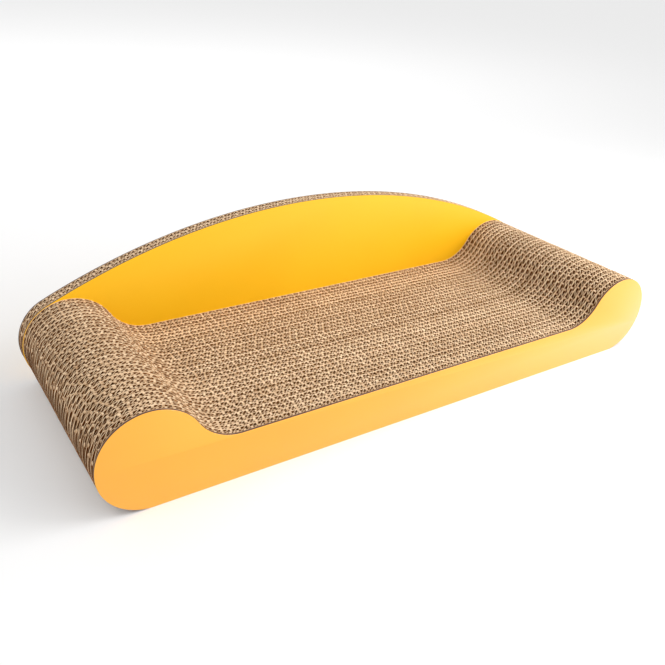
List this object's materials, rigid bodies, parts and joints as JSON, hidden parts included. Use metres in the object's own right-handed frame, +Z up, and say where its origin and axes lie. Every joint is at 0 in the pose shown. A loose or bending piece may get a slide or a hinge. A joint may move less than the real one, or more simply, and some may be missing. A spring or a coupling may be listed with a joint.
{
  "type": "cat scratcher lounger",
  "caption": "Low cat scratching lounge of upright corrugated board layers glued face to face, with rounded arms, a flat seat between them and an arched backrest. Stands free on a floor.",
  "frame": {"origin": "on the floor, under the middle of the whole lounger", "axes": "+X along the length, +Y from the front panel to the backrest, +Z up"},
  "size_m": [0.6312, 0.2266, 0.15],
  "materials": {
    "printed_board": "satin coated yellow print on solid board",
    "corrugated_board": "raw brown kraft paper, cut edges"
  },
  "bodies": {
    "root": {"front_panel": "printed_board", "seat_board_01": "corrugated_board", "seat_board_02": "corrugated_board", "seat_board_03": "corrugated_board", "seat_board_04": "corrugated_board", "seat_board_05": "corrugated_board", "seat_board_06": "corrugated_board", "seat_board_07": "corrugated_board", "seat_board_08": "corrugated_board", "seat_board_09": "corrugated_board", "seat_board_10": "corrugated_board", "seat_board_11": "corrugated_board", "seat_board_12": "corrugated_board", "seat_board_13": "corrugated_board", "seat_board_14": "corrugated_board", "seat_board_15": "corrugated_board", "seat_board_16": "corrugated_board", "seat_board_17": "corrugated_board", "seat_board_18": "corrugated_board", "seat_board_19": "corrugated_board", "seat_board_20": "corrugated_board", "seat_board_21": "corrugated_board", "seat_board_22": "corrugated_board", "seat_board_23": "corrugated_board", "seat_board_24": "corrugated_board", "seat_board_25": "corrugated_board", "seat_board_26": "corrugated_board", "seat_board_27": "corrugated_board", "seat_board_28": "corrugated_board", "seat_board_29": "corrugated_board", "seat_board_30": "corrugated_board", "seat_board_31": "corrugated_board", "seat_board_32": "corrugated_board", "backrest_front_panel": "printed_board", "backrest_board_1": "corrugated_board", "backrest_board_2": "corrugated_board", "backrest_rear_panel": "printed_board"}
  },
  "joints": []
}
